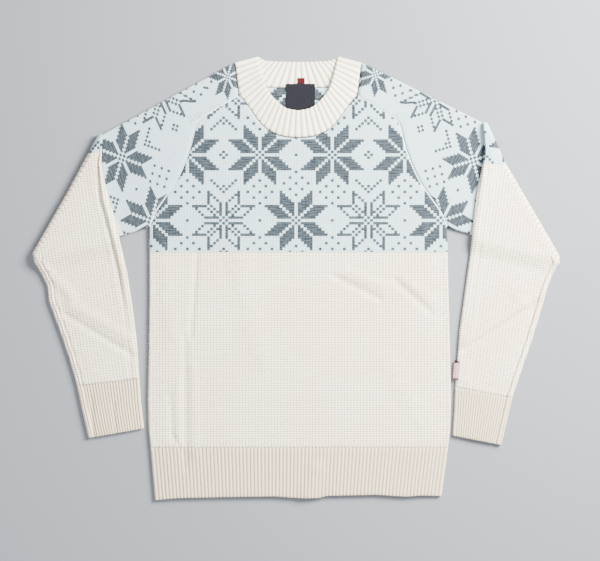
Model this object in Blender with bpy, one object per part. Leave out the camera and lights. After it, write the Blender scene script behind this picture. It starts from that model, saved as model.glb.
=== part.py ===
"""A raglan crewneck sweater in heavy knit, laid face up with both sleeves folded over on themselves.

Units in the tables are millimetres: +X to the wearer's left, +Y towards the neck, +Z up from the surface.
The origin is on the resting plane, on the garment's centre line, half way between hem and neck.
Every piece is a flattened tube or half of one. A section of a tube runs from its first edge over
the upper layer to its second edge and back under the lower layer.
"""

import math

import bmesh
import bpy

for leftover in list(bpy.data.objects):
    bpy.data.objects.remove(leftover, do_unlink=True)

COLLECTION = "crewneck_sweater"
MM = 0.001

# Cloth
LAYER = 3.0            # thickness of one layer of the heavy knit
AIR = 0.8              # air between two layers that lie on each other
SEAM = 0.3             # gap kept between sewn pieces
HALF = LAYER + AIR / 2  # half the thickness of a tube pressed flat
BORE = AIR / 2         # half the height of the hollow in it
TUBE = 2 * HALF        # the whole thickness of a tube pressed flat
GROOVE = 1.1           # depth of the grooves between ribs

# Ribs that show on the upper side
HEM_RIBS = 79
CUFF_RIBS = 20
NECK_RIBS_FRONT = 32
NECK_RIBS_BACK = 18

# The fold in a sleeve
FOLD_BORE = 0.6        # half the gap between the two halves of the folded sleeve
FOLD_AXIS = TUBE + FOLD_BORE
FOLD_LEAN = (20.0, 65.0)   # how far its bulge leans down the sleeve, at its shoulder and underarm ends
FOLD_TURNS = 6
UPPER_STEPS = 5
DROP = 30.0            # length over which the forearm comes down from the upper arm

# Subdivision of seams, shared by the pieces on both sides of each seam
RAGLAN_STEPS = 9
NECK_SIDE_STEPS = 2
NECK_FRONT_STEPS = 18
NECK_BACK_STEPS = 8
BODY_ROWS = 11
COLLAR_ROWS = 3
COLLAR_EDGE_FRONT_STEPS = 12
COLLAR_EDGE_BACK_STEPS = 8
CURVE_SAMPLES = 12     # points read from a smooth curve between two of its own points
HEM_BACK_STEPS = 24
CUFF_BACK_STEPS = 8

# Body outline, wearer's right half mirrored to the left: distance from the centre line at a height
HALF_CHEST = 231.5
UNDERARM_Y = 76.5
BODY_SIDE = (
    # y, right side, left side
    (76.5, -231.5, 231.5),
    (28.0, -230.5, 232.5),
    (-34.0, -230.5, 234.0),
    (-112.0, -231.5, 236.0),
    (-190.0, -233.0, 237.5),
    (-240.0, -231.5, 236.0),
    (-264.0, -229.0, 233.0),
)
HEM_SEAM_Y = -264.0
HEM_EDGE = (
    # x, y along the lower edge
    (-222.0, -345.0),
    (-186.0, -341.5),
    (-115.0, -340.0),
    (-37.0, -339.0),
    (2.0, -341.5),
    (32.0, -341.5),
    (46.0, -338.0),
    (123.0, -336.5),
    (168.0, -339.5),
    (191.0, -337.5),
    (223.0, -338.5),
)

# Seams of the wearer's right half, from the photo's left; the other half is mirrored
RAGLAN_FRONT = (
    # from underarm to collar: distance from the centre line, y
    (231.5, 76.5),
    (221.0, 101.0),
    (200.0, 131.0),
    (188.0, 149.0),
    (177.0, 172.0),
    (170.5, 188.0),
    (164.0, 209.0),
    (155.0, 241.0),
    (138.0, 254.0),
    (118.0, 267.0),
    (91.0, 282.0),
)
RAGLAN_BACK = (
    (231.5, 76.5),
    (196.0, 143.0),
    (160.0, 206.0),
    (118.0, 262.0),
    (74.0, 302.0),
)
SHOULDER = (99.0, 332.5)
NECK_SIDE_FRONT = (
    # from just below the shoulder point to the front raglan seam
    (97.2, 327.5),
    (94.8, 307.0),
    (91.0, 282.0),
)
NECK_SIDE_BACK = (
    (97.2, 327.5),
    (88.0, 314.0),
    (74.0, 302.0),
)
NECK_FRONT = (
    # from the front raglan seam to the centre front
    (91.0, 282.0),
    (84.0, 274.0),
    (74.0, 261.0),
    (61.5, 243.0),
    (47.0, 229.0),
    (29.0, 220.0),
    (12.0, 217.0),
    (0.0, 216.5),
)
NECK_BACK = (
    (74.0, 302.0),
    (56.0, 295.5),
    (28.0, 293.5),
    (0.0, 293.5),
)
COLLAR_EDGE_FRONT = (
    # free edge, from the shoulder to the centre front
    (63.5, 342.0),
    (58.5, 321.0),
    (54.0, 304.0),
    (48.0, 289.0),
    (39.0, 277.0),
    (29.0, 267.0),
    (17.0, 259.5),
    (0.0, 256.5),
)
COLLAR_EDGE_BACK = (
    (63.5, 342.0),
    (56.0, 337.0),
    (46.0, 334.5),
    (23.0, 333.0),
    (0.0, 332.5),
)
COLLAR_LIFT = 3.0      # how far the front of the collar stands off at its free edge
COLLAR_RISE = 0.2      # share of the front, from each shoulder, over which it comes up to that

# Where each sleeve is folded over, from the shoulder edge to the underarm edge
FOLD_RIGHT = (
    (-303.0, 221.5),
    (-350.7, 132.5),
    (-404.5, 38.0),
)
FOLD_LEFT = (
    (287.0, 239.5),
    (316.4, 175.0),
    (397.5, 36.0),
)
UNDERARM_SAG = (5.0, 3.0)   # how far the upper arm's lower edge hangs below a straight run, right and left
SAG_REACH = 110.0      # and how far up the sleeve that dies away

# Sections of each forearm from just past the fold to the cuff seam, and of each cuff
SLEEVE_RIGHT = (
    # inner x, inner y, outer x, outer y
    (-304.5, 176.0, -408.0, 22.0),
    (-297.0, 137.0, -396.0, 0.0),
    (-287.0, 101.0, -389.0, -15.0),
    (-277.0, 62.0, -387.0, -37.0),
    (-265.5, 9.0, -378.0, -62.0),
    (-257.5, -42.0, -367.0, -92.0),
    (-250.5, -96.0, -355.0, -128.0),
    (-246.0, -157.0, -343.5, -168.0),
)
CUFF_RIGHT = (
    (-246.0, -157.0, -343.5, -168.0),
    (-243.5, -195.0, -335.0, -208.0),
    (-239.0, -233.5, -325.5, -248.5),
)
SLEEVE_LEFT = (
    (290.0, 197.0, 404.0, 22.0),
    (283.5, 163.0, 396.0, 6.0),
    (276.5, 127.0, 389.0, -11.0),
    (272.0, 87.0, 382.5, -33.0),
    (267.0, 36.0, 374.0, -63.0),
    (259.0, -22.0, 363.0, -98.0),
    (250.0, -88.0, 348.5, -140.0),
    (244.0, -170.0, 333.0, -187.0),
)
CUFF_LEFT = (
    (244.0, -170.0, 333.0, -187.0),
    (242.5, -207.0, 324.5, -223.0),
    (240.0, -244.5, 316.0, -259.5),
)

# Soft folds in the upper layer: where each starts and ends, its height and its half width
BODY_FOLDS = (
    # x1, y1, x2, y2, height, half width
    (-176.0, -140.0, -170.0, -262.0, 2.2, 20.0),
    (70.0, -4.0, 118.0, -26.0, 1.8, 18.0),
    (160.0, -18.0, 196.0, -52.0, 1.8, 16.0),
    (-90.0, 30.0, -60.0, -120.0, 1.4, 30.0),
    (30.0, -300.0, 14.0, -341.0, 2.6, 22.0),
)
SLEEVE_RIGHT_FOLDS = (
    (-330.0, -70.0, -262.0, -122.0, 2.6, 17.0),
    (-392.0, 20.0, -340.0, -40.0, 2.4, 13.0),
    (-300.0, 120.0, -283.0, 30.0, 1.8, 14.0),
)
SLEEVE_LEFT_FOLDS = (
    (250.0, -120.0, 345.0, -60.0, 2.4, 18.0),
    (384.0, 10.0, 340.0, -30.0, 2.2, 14.0),
    (290.0, 150.0, 280.0, 60.0, 1.8, 14.0),
)
BODY_LOFT = 1.4        # how far the upper layer stands off the lower one in the middle
SLEEVE_LOFT = 1.0
EDGE_ANGLES = (-45.0, 0.0, 45.0)
EDGE_POINTS = len(EDGE_ANGLES)
LOFT_EDGE = 34.0       # distance from an edge over which that builds up

# Labels
LABEL_THICK = 1.0
LABEL_HALF_WIDTH = 22.5
LABEL_TOP_Y = 300.0
LABEL_LOW_Y = 251.0
LABEL_X = 4.0
LOOP_HALF_WIDTH = 5.5
LOOP_LENGTH = 9.0
LOOP_X = 5.0
TAB_LENGTH = 28.0
TAB_Y = -159.0
TAB_STANDS = 4.0       # how far its loop stands off the sleeve's edge
TAB_ON_SLEEVE = 4.0


def material(name, colour, roughness):
    made = bpy.data.materials.new(name)
    made.use_nodes = True
    shader = made.node_tree.nodes["Principled BSDF"]
    shader.inputs["Base Color"].default_value = (*colour, 1.0)
    shader.inputs["Roughness"].default_value = roughness
    shader.inputs["Metallic"].default_value = 0.0
    return made


def mix(a, b, share):
    return tuple(p + (q - p) * share for p, q in zip(a, b))


def ease(share):
    share = min(1.0, max(0.0, share))
    return share * share * (3.0 - 2.0 * share)


def mirrored(line):
    """A seam of the wearer's right half, given by its distance from the centre line, on the photo's left."""
    return [(-x, y) for x, y in line]


def arc_positions(line):
    found = [0.0]
    for a, b in zip(line, line[1:]):
        found.append(found[-1] + math.dist(a, b))
    return found


def at(line, distance):
    """The point that far along a line of straight runs; a distance past an end goes on straight."""
    positions = arc_positions(line)
    last = len(line) - 2
    run = 0
    while run < last and distance > positions[run + 1]:
        run += 1
    share = (distance - positions[run]) / (positions[run + 1] - positions[run])
    return mix(line[run], line[run + 1], share)


def length(line):
    return arc_positions(line)[-1]


def between(a, b, c, d, t):
    """Share t of the way from b to c on a smooth curve whose neighbouring points are a and d."""
    return 0.5 * (2 * b + (c - a) * t + (2 * a - 5 * b + 4 * c - d) * t**2 + (3 * b - a - 3 * c + d) * t**3)


def smooth(points, steps):
    """That many equal steps along a smooth curve through the points."""
    fine = []
    padded = [points[0], *points, points[-1]]
    for i in range(len(points) - 1):
        a, b, c, d = padded[i : i + 4]
        for j in range(CURVE_SAMPLES):
            fine.append(tuple(between(*values, j / CURVE_SAMPLES) for values in zip(a, b, c, d)))
    fine.append(tuple(points[-1]))
    whole = length(fine)
    return [at(fine, whole * i / steps) for i in range(steps + 1)]


def folds_at(folds, x, y):
    """Height of the soft folds over a point of the upper layer."""
    total = 0.0
    for x1, y1, x2, y2, height, half_width in folds:
        along = (x2 - x1, y2 - y1)
        reach = along[0] ** 2 + along[1] ** 2
        share = ((x - x1) * along[0] + (y - y1) * along[1]) / reach
        share = min(1.0, max(0.0, share))
        off = math.dist((x, y), (x1 + along[0] * share, y1 + along[1] * share))
        total += height * (1.0 - ease(off / half_width))
    return total


def body_side(y, side):
    """x of the body's side at a height; side is 1 for the wearer's right and 2 for the left."""
    if y >= BODY_SIDE[0][0]:
        return BODY_SIDE[0][side]
    for upper, lower in zip(BODY_SIDE, BODY_SIDE[1:]):
        if y >= lower[0]:
            share = (upper[0] - y) / (upper[0] - lower[0])
            return upper[side] + (lower[side] - upper[side]) * share
    return BODY_SIDE[-1][side]


def hem_edge_y(x):
    for a, b in zip(HEM_EDGE, HEM_EDGE[1:]):
        if x <= b[0]:
            return a[1] + (b[1] - a[1]) * (x - a[0]) / (b[0] - a[0])
    return HEM_EDGE[-1][1]


def loft(x, y, edge_distance, height, folds):
    """How far the upper layer stands off: nothing at an edge, more in the middle, and its folds."""
    grown = ease(edge_distance / LOFT_EDGE)
    return grown * (height + folds_at(folds, x, y))


def build(name, rows_outer, rows_inner, ring, finish):
    """A closed wall between two nets of points in millimetres; a ring's rows close on themselves."""
    mesh = bmesh.new()
    nets = []
    for rows in (rows_outer, rows_inner):
        nets.append([[mesh.verts.new([v * MM for v in point]) for point in row] for row in rows])
    outer, inner = nets
    count = len(outer[0])
    columns = count if ring else count - 1
    last = len(outer) - 1
    for j in range(columns):
        k = (j + 1) % count
        for i in range(last):
            mesh.faces.new((outer[i][j], outer[i][k], outer[i + 1][k], outer[i + 1][j]))
            mesh.faces.new((inner[i][j], inner[i + 1][j], inner[i + 1][k], inner[i][k]))
        mesh.faces.new((outer[0][k], outer[0][j], inner[0][j], inner[0][k]))
        mesh.faces.new((outer[last][j], outer[last][k], inner[last][k], inner[last][j]))
    if not ring:
        for i in range(last):
            mesh.faces.new((outer[i][0], outer[i + 1][0], inner[i + 1][0], inner[i][0]))
            mesh.faces.new((outer[i + 1][-1], outer[i][-1], inner[i][-1], inner[i + 1][-1]))
    bmesh.ops.recalc_face_normals(mesh, faces=mesh.faces)
    data = bpy.data.meshes.new(name)
    mesh.to_mesh(data)
    mesh.free()
    data.materials.append(finish)
    obj = bpy.data.objects.new(name, data)
    bpy.data.collections[COLLECTION].objects.link(obj)
    data.shade_smooth()
    data.set_sharp_from_angle(angle=math.radians(50.0))
    return obj


def section(upper, lower, upper_stops, lower_stops, radius):
    """One section of a flattened tube as (x, y, rise): over the upper layer, then back under the lower one.

    upper and lower are the plan lines of the two layers, both from the first edge to the second. The stops
    are distances along them. rise is measured from the tube's middle height. radius is HALF for the outside
    of the cloth and BORE for the inside of it.
    """
    points = []
    for angle in EDGE_ANGLES:
        line = lower if angle < 0.0 else upper
        turn = math.radians(angle)
        points.append((*at(line, HALF - radius * math.cos(turn)), radius * math.sin(turn)))
    points += [(*at(upper, stop), radius) for stop in upper_stops]
    for angle in reversed(EDGE_ANGLES):
        line = lower if angle < 0.0 else upper
        turn = math.radians(angle)
        points.append((*at(line, length(line) - HALF + radius * math.cos(turn)), radius * math.sin(turn)))
    points += [(*at(lower, stop), -radius) for stop in reversed(lower_stops)]
    return points


def even_stops(line, steps):
    span = length(line) - 2 * HALF
    return [HALF + span * i / steps for i in range(steps + 1)]


def corner_stops(line):
    """Stops at a line's own corners, with its two ends drawn in to where the edges' rounds begin."""
    return [HALF, *arc_positions(line)[1:-1], length(line) - HALF]


def seams(side):
    """The seams of one half as lines of straight runs; side is -1 for the wearer's right, 1 for the left."""
    def placed(table, steps):
        return [(side * x, y) for x, y in smooth(table, steps)]

    return {
        "raglan_front": placed(RAGLAN_FRONT, RAGLAN_STEPS),
        "raglan_back": placed(RAGLAN_BACK, RAGLAN_STEPS),
        "side_front": [(side * SHOULDER[0], SHOULDER[1]), *placed(NECK_SIDE_FRONT, NECK_SIDE_STEPS)],
        "side_back": [(side * SHOULDER[0], SHOULDER[1]), *placed(NECK_SIDE_BACK, NECK_SIDE_STEPS)],
        "neck_front": placed(NECK_FRONT, NECK_FRONT_STEPS // 2),
        "neck_back": placed(NECK_BACK, NECK_BACK_STEPS // 2),
    }


def top_line(which):
    """The upper boundary of a body panel from the wearer's right underarm to the left one."""
    right, left = seams(-1), seams(1)
    neck = right[f"neck_{which}"] + left[f"neck_{which}"][-2::-1]
    return right[f"raglan_{which}"][:-1] + neck + left[f"raglan_{which}"][-2::-1]


def panel(name, which, finish):
    """Half of the body's tube: front is the upper layer with its rounded sides, back the lower one."""
    above = 1 if which == "front" else -1
    top = top_line(which)
    last = len(top) - 1
    x_right, x_left = top[0][0], top[-1][0]
    nets = []
    for radius in (HALF, BORE):
        rows = []
        for i in range(BODY_ROWS + 1):
            share = i / BODY_ROWS
            spread = ease(share)
            row = []
            for k in range(last + 1):
                y = HEM_SEAM_Y + SEAM + (top[k][1] - SEAM - HEM_SEAM_Y - SEAM) * share
                low, high = body_side(y, 1), body_side(y, 2)
                even = k / last
                at_seam = (top[k][0] - x_right) / (x_left - x_right)
                x = low + (high - low) * (even + (at_seam - even) * spread)
                x = min(max(x, low + HALF), high - HALF)
                row.append((x, y, above * radius))
            first, final = row[0], row[-1]
            for angle in (45.0, 0.0):
                turn = math.radians(angle)
                out = radius * math.cos(turn)
                rise = above * max(radius * math.sin(turn), SEAM / 2)
                row.insert(0, (first[0] - out, first[1], rise))
                row.append((final[0] + out, final[1], rise))
            rows.append([body_height(point, above) for point in row])
        nets.append(rows)
    return build(name, *nets, False, finish)


def body_height(point, above):
    """A point of the body's tube at its height over the surface, with the upper layer's loft and folds."""
    x, y, rise = point
    lifted = 0.0
    if above > 0 and rise > 0.0:
        to_side = min(x - body_side(y, 1), body_side(y, 2) - x)
        lifted = loft(x, y, to_side, BODY_LOFT, BODY_FOLDS)
    return (x, y, HALF + rise + lifted)


def hem(name, finish):
    """The ribbed waistband: a flattened tube from the hem seam to the lower edge."""
    seam_y = HEM_SEAM_Y - SEAM
    seam_ends = [(body_side(HEM_SEAM_Y, side), seam_y) for side in (1, 2)]
    lower_ends = [HEM_EDGE[0], HEM_EDGE[-1]]
    nets = []
    for radius in (HALF, BORE):
        rows = []
        for share in (0.0, 0.5, 1.0):
            line = [mix(a, b, share) for a, b in zip(seam_ends, lower_ends)]
            ribs, plain = even_stops(line, 2 * HEM_RIBS), even_stops(line, HEM_BACK_STEPS)
            row = []
            for index, (x, y, rise) in enumerate(section(line, line, ribs, plain, radius)):
                across = (x - lower_ends[0][0]) / (lower_ends[1][0] - lower_ends[0][0])
                straight = mix(lower_ends[0], lower_ends[1], across)
                y += share * (hem_edge_y(x) - straight[1])
                if radius == HALF and rise == HALF and index % 2 == 1:
                    rise -= GROOVE
                row.append(body_height((x, y, rise), 1))
            rows.append(row)
        nets.append(rows)
    return build(name, *nets, True, finish)


def collar(name, finish):
    """The neck rib: a flattened ring, part of the upper layer in front and of the lower one behind."""
    right, left = seams(-1), seams(1)
    seam_front = right["side_front"][:-1] + right["neck_front"]
    seam_front += left["neck_front"][-2::-1] + left["side_front"][-2::-1]
    seam_back = right["side_back"][:-1] + right["neck_back"]
    seam_back += left["neck_back"][-2::-1] + left["side_back"][-2::-1]
    half_front = smooth(COLLAR_EDGE_FRONT, COLLAR_EDGE_FRONT_STEPS)
    half_back = smooth(COLLAR_EDGE_BACK, COLLAR_EDGE_BACK_STEPS)
    edge_front = mirrored(half_front) + half_front[-2::-1]
    edge_back = mirrored(half_back) + half_back[-2::-1]
    front_steps, back_steps = 2 * NECK_RIBS_FRONT, 2 * NECK_RIBS_BACK
    nets = []
    for radius in (HALF, BORE):
        at_seam, at_edge = (
            section(front, back, even_stops(front, front_steps), even_stops(back, back_steps), radius)
            for front, back in ((seam_front, seam_back), (edge_front, edge_back))
        )
        rows = []
        for i in range(COLLAR_ROWS + 1):
            share = i / COLLAR_ROWS
            row = []
            for index, (a, b) in enumerate(zip(at_seam, at_edge)):
                x, y, rise = mix(a, b, share)
                groove = index % 2 == 1
                if radius == HALF and rise == HALF and groove:
                    rise -= GROOVE
                if radius == BORE and rise == -BORE and not groove:
                    rise -= GROOVE
                lifted = 0.0
                if rise > 0.0:
                    from_end = min(index - EDGE_POINTS, EDGE_POINTS + front_steps - index)
                    middle = ease(from_end / (front_steps * COLLAR_RISE))
                    lifted = middle * (BODY_LOFT + COLLAR_LIFT * share)
                row.append((x, y, HALF + rise + lifted))
            rows.append(row)
        nets.append(rows)
    return build(name, *nets, True, finish)


def fold_line(side):
    return FOLD_RIGHT if side < 0 else FOLD_LEFT


def sag_at(point, share, side):
    """How far a point of the upper arm hangs below the straight run of its lower edge."""
    edge = mix((side * HALF_CHEST, UNDERARM_Y), fold_line(side)[-1], share)
    deepest = UNDERARM_SAG[0] if side < 0 else UNDERARM_SAG[1]
    return deepest * math.sin(math.pi * share) * (1.0 - ease(math.dist(point, edge) / SAG_REACH))


def forearm_base(x, y, side):
    """Height of what the folded-over forearm lies on: the upper arm, and past its lower edge the surface."""
    corner = fold_line(side)[-1]
    underarm = (side * HALF_CHEST, UNDERARM_Y)
    run = (corner[0] - underarm[0], corner[1] - underarm[1])
    across = (run[0] * (y - underarm[1]) - run[1] * (x - underarm[0])) / math.hypot(*run)
    below = -side * across - max(UNDERARM_SAG)
    return (TUBE + 2 * FOLD_BORE) * (1.0 - ease(below / DROP))


def forearm_row(row, radius, side, steps, ribs=0):
    """One section of the folded forearm: what was the upper layer now lies below."""
    inner, outer = (row[0], row[1]), (row[2], row[3])
    line = [inner, outer]
    folds = SLEEVE_RIGHT_FOLDS if side < 0 else SLEEVE_LEFT_FOLDS
    turned = even_stops(line, 2 * ribs if ribs else steps)
    points = []
    for index, (x, y, rise) in enumerate(section(line, line, even_stops(line, steps), turned, radius)):
        lifted = 0.0
        if rise < 0.0:
            to_edge = min(math.dist((x, y), inner), math.dist((x, y), outer))
            lifted = loft(x, y, to_edge, SLEEVE_LOFT, folds)
        if ribs and radius == HALF and rise == -HALF and index % 2 == 1:
            rise += GROOVE
        points.append((x, y, HALF - rise + forearm_base(x, y, side) + lifted))
    return points


def sleeve(name, side, finish):
    """A raglan sleeve: a flattened tube from the raglan seams to the fold, then turned over, to the cuff."""
    half = seams(side)
    front = half["side_front"][:-1] + half["raglan_front"][::-1]
    back = half["side_back"][:-1] + half["raglan_back"][::-1]
    sections = SLEEVE_RIGHT if side < 0 else SLEEVE_LEFT
    fold = fold_line(side)
    steps = len(front) - 1
    span = math.dist(fold[0], fold[-1])
    along = ((fold[-1][0] - fold[0][0]) / span, (fold[-1][1] - fold[0][1]) / span)
    outward = (side * -along[1], side * along[0])
    nets = []
    for radius in (HALF, BORE):
        first = section(front, back, corner_stops(front), corner_stops(back), radius)
        last = section(fold, fold, even_stops(fold, steps), even_stops(fold, steps), radius)
        rows = []
        for i in range(UPPER_STEPS):
            share = i / UPPER_STEPS
            row = []
            for index, (a, b) in enumerate(zip(first, last)):
                x, y, rise = mix(a, b, share)
                y -= sag_at((x, y), share, side)
                if i == 0:
                    x += side * SEAM
                lifted = 0.0
                if rise > 0.0:
                    from_end = min(index - EDGE_POINTS + 1, EDGE_POINTS + steps + 1 - index)
                    middle = ease(from_end / EDGE_POINTS)
                    lifted = SLEEVE_LOFT * middle * (1.0 - share)
                row.append((x, y, HALF + rise + lifted))
            rows.append(row)
        for i in range(FOLD_TURNS + 1):
            turn = math.pi * i / FOLD_TURNS
            row = []
            for x, y, rise in last:
                swing = FOLD_AXIS - (HALF + rise)
                share = math.dist((x, y), fold[0]) / span
                lean = math.radians(FOLD_LEAN[0] + (FOLD_LEAN[1] - FOLD_LEAN[0]) * share)
                out = swing * math.sin(turn) * math.cos(lean)
                down = swing * math.sin(turn) * math.sin(lean)
                x += outward[0] * out + along[0] * down
                y += outward[1] * out + along[1] * down
                row.append((x, y, FOLD_AXIS - swing * math.cos(turn)))
            rows.append(row)
        for row in sections[:-1]:
            rows.append(forearm_row(row, radius, side, steps))
        rows.append(shifted(forearm_row(sections[-1], radius, side, steps), SEAM))
        nets.append(rows)
    return build(name, *nets, True, finish)


def shifted(row, distance):
    return [(x, y + distance, z) for x, y, z in row]


def cuff(name, side, finish):
    """The ribbed cuff of a folded sleeve."""
    sections = CUFF_RIGHT if side < 0 else CUFF_LEFT
    nets = [
        [forearm_row(row, radius, side, CUFF_BACK_STEPS, CUFF_RIBS) for row in sections]
        for radius in (HALF, BORE)
    ]
    return build(name, *nets, True, finish)


def strip(name, centre_x, half_width, heights, finish):
    """A flat woven piece: its underside's height at each y of a short table of (y, height)."""
    nets = []
    for thickness in (LABEL_THICK, 0.0):
        rows = []
        for y, height in heights:
            rows.append([(centre_x + side * half_width, y, height + thickness) for side in (-1, 0, 1)])
        nets.append(rows)
    return build(name, *nets, False, finish)


def sleeve_tab(name, finish):
    """A small folded tab on the inner edge of the forearm, made from the sleeve's own points moved out."""
    before, after = SLEEVE_LEFT[-2], SLEEVE_LEFT[-1]
    nets = []
    for radius in (HALF + SEAM + LABEL_THICK, HALF + SEAM):
        rows = []
        for share in (0.0, 0.5, 1.0):
            y = TAB_Y + TAB_LENGTH * share
            row = mix(before, after, (before[1] - y) / (before[1] - after[1]))
            inner, outer = (row[0], row[1]), (row[2], row[3])
            points = []
            for angle in (-30.0, -5.0, 25.0, 60.0, 90.0):
                turn = math.radians(angle)
                reach = radius + TAB_STANDS * math.sin(math.pi * (90.0 - angle) / 120.0)
                x, y_plan = at([inner, outer], HALF - reach * math.cos(turn))
                points.append((x, y_plan, HALF + radius * math.sin(turn)))
            x, y_plan = at([inner, outer], HALF + TAB_ON_SLEEVE)
            points.append((x, y_plan, HALF + radius))
            rows.append(points)
        nets.append(rows)
    return build(name, *nets, False, finish)


bpy.context.scene.collection.children.link(bpy.data.collections.new(COLLECTION))

body_knit = material("body_knit", (0.80, 0.77, 0.70), 0.9)
yoke_knit = material("sleeve_knit", (0.74, 0.75, 0.74), 0.9)
rib_knit = material("rib_knit", (0.82, 0.79, 0.72), 0.9)
label_dark = material("label_dark", (0.03, 0.03, 0.04), 0.7)
label_red = material("label_red", (0.45, 0.01, 0.03), 0.7)
tab_pale = material("tab_pale", (0.75, 0.55, 0.56), 0.7)

panel("front_panel", "front", body_knit)
panel("back_panel", "back", body_knit)
hem("hem_rib", rib_knit)
collar("neck_rib", rib_knit)
sleeve("sleeve_right", -1, yoke_knit)
sleeve("sleeve_left", 1, yoke_knit)
cuff("cuff_right", -1, rib_knit)
cuff("cuff_left", 1, rib_knit)

on_panel = LAYER + SEAM
on_collar = LAYER + SEAM
strip(
    "neck_label",
    LABEL_X,
    LABEL_HALF_WIDTH,
    ((LABEL_LOW_Y, on_panel), (LABEL_TOP_Y - 8.0, on_panel), (LABEL_TOP_Y, on_collar)),
    label_dark,
)
strip(
    "neck_loop",
    LOOP_X,
    LOOP_HALF_WIDTH,
    ((LABEL_TOP_Y + SEAM, on_collar), (LABEL_TOP_Y + LOOP_LENGTH, on_collar)),
    label_red,
)
sleeve_tab("sleeve_tab", tab_pale)
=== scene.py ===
# %% [markdown]
# # A raglan crewneck sweater, laid flat
# The sweater lies face up on a pale floor. Both sleeves are folded over on themselves, so each forearm lies
# on its upper arm, shows its back, and runs down beside the body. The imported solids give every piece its
# place and size, and this script gives the cloth: knitted relief, star pattern, ribs, creases and yarn.

# %% Load the frame
from functools import partialmethod
from math import ceil, cos, dist, hypot, pi, radians, sin, sqrt, tau

import bmesh
import bpy
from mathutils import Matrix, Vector


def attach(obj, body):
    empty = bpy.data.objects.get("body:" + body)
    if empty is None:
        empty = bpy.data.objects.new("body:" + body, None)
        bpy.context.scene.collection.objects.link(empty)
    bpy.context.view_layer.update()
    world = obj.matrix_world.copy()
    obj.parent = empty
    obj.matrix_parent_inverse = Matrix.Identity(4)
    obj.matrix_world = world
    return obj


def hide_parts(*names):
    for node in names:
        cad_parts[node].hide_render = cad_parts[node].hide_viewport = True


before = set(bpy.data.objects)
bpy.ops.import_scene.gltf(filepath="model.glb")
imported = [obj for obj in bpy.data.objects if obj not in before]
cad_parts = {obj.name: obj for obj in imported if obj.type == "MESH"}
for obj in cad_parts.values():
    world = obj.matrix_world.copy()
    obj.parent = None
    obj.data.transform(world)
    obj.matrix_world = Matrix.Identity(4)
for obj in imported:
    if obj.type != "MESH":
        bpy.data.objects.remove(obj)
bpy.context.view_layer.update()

print("nodes:", sorted(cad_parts))

# %% [markdown]
# ## Sizes
# The tables repeat the sizes that the solids were made from, in millimetres, because the cloth has to lie on
# the same form. A pattern maker would call them the seam lines of the laid-out garment. The wearer's right
# half is on the photo's left.

# %% Cloth sizes
MM = 0.001
LAYER = 3.0  # one layer of cloth
AIR = 0.8  # between the two layers of a tube
SEAM = 0.3  # between two pieces
HALF = LAYER + AIR / 2
TUBE = 2 * HALF
FOLD_BORE = 0.6  # half the gap inside a fold
DROP = 30.0  # run over which a forearm comes down to the floor
WALL = 2.0  # thickness given to the modelled shells
JOIN = 0.05  # half the gap where two knits are linked edge to edge
WELT = 1.2  # radius of the ridge along a raglan seam

# %% Knit sizes
STITCH = (4.68, 4.42)  # one star-pattern stitch, across and along
CELL = (4.95, 3.75)  # one cell of the waffle knit
PIT = 1.1  # how deep a cell is pressed in
YOKE_END = -11.1  # last pattern row, counted in stitches from the lowest row of star centres
SLEEVE_YOKE_END = -11.7
STAR_ORIGIN = (-3.1, 87.7)  # centre of the middle star in that row
YOKE_Y = STAR_ORIGIN[1] + YOKE_END * STITCH[1]

# %% Seam lines
HALF_CHEST = 231.5
UNDERARM_Y = 76.5
HEM_SEAM_Y = -264
BODY_SIDE = (
    # y, right side, left side
    (76.5, -231.5, 231.5),
    (28, -230.5, 232.5),
    (-34, -230.5, 234),
    (-112, -231.5, 236),
    (-190, -233, 237.5),
    (-240, -231.5, 236),
    (-264, -229, 233),
)
HEM_EDGE = (
    # x, y along the lower edge
    (-222, -345), (-186, -341.5), (-115, -340), (-37, -339),
    (2, -341.5), (32, -341.5), (46, -338), (123, -336.5),
    (168, -339.5), (191, -337.5), (223, -338.5),
)
RAGLAN_FRONT = (
    # from underarm to collar: distance from the centre line, y
    (231.5, 76.5), (221, 101), (200, 131), (188, 149),
    (177, 172), (170.5, 188), (164, 209), (155, 241),
    (138, 254), (118, 267), (91, 282),
)
RAGLAN_BACK = (
    (231.5, 76.5), (196, 143), (160, 206), (118, 262),
    (74, 302),
)
SHOULDER = (99, 332.5)
NECK_SIDE_FRONT = ((97.2, 327.5), (94.8, 307), (91, 282))
NECK_SIDE_BACK = ((97.2, 327.5), (88, 314), (74, 302))
NECK_FRONT = (
    (91, 282), (84, 274), (74, 261), (61.5, 243),
    (47, 229), (29, 220), (12, 217), (0, 216.5),
)
NECK_BACK = ((74, 302), (56, 295.5), (28, 293.5), (0, 293.5))
COLLAR_EDGE_FRONT = (
    (63.5, 342), (58.5, 321), (54, 304), (48, 289),
    (39, 277), (29, 267), (17, 259.5), (0, 256.5),
)
COLLAR_EDGE_BACK = ((63.5, 342), (56, 337), (46, 334.5), (23, 333), (0, 332.5))

# %% [markdown]
# Each sleeve has a fold line, from the shoulder edge to the underarm edge. Past it come the sections of the
# forearm, each with a point on its inner edge and one on its outer edge, down to the cuff seam.

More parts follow.
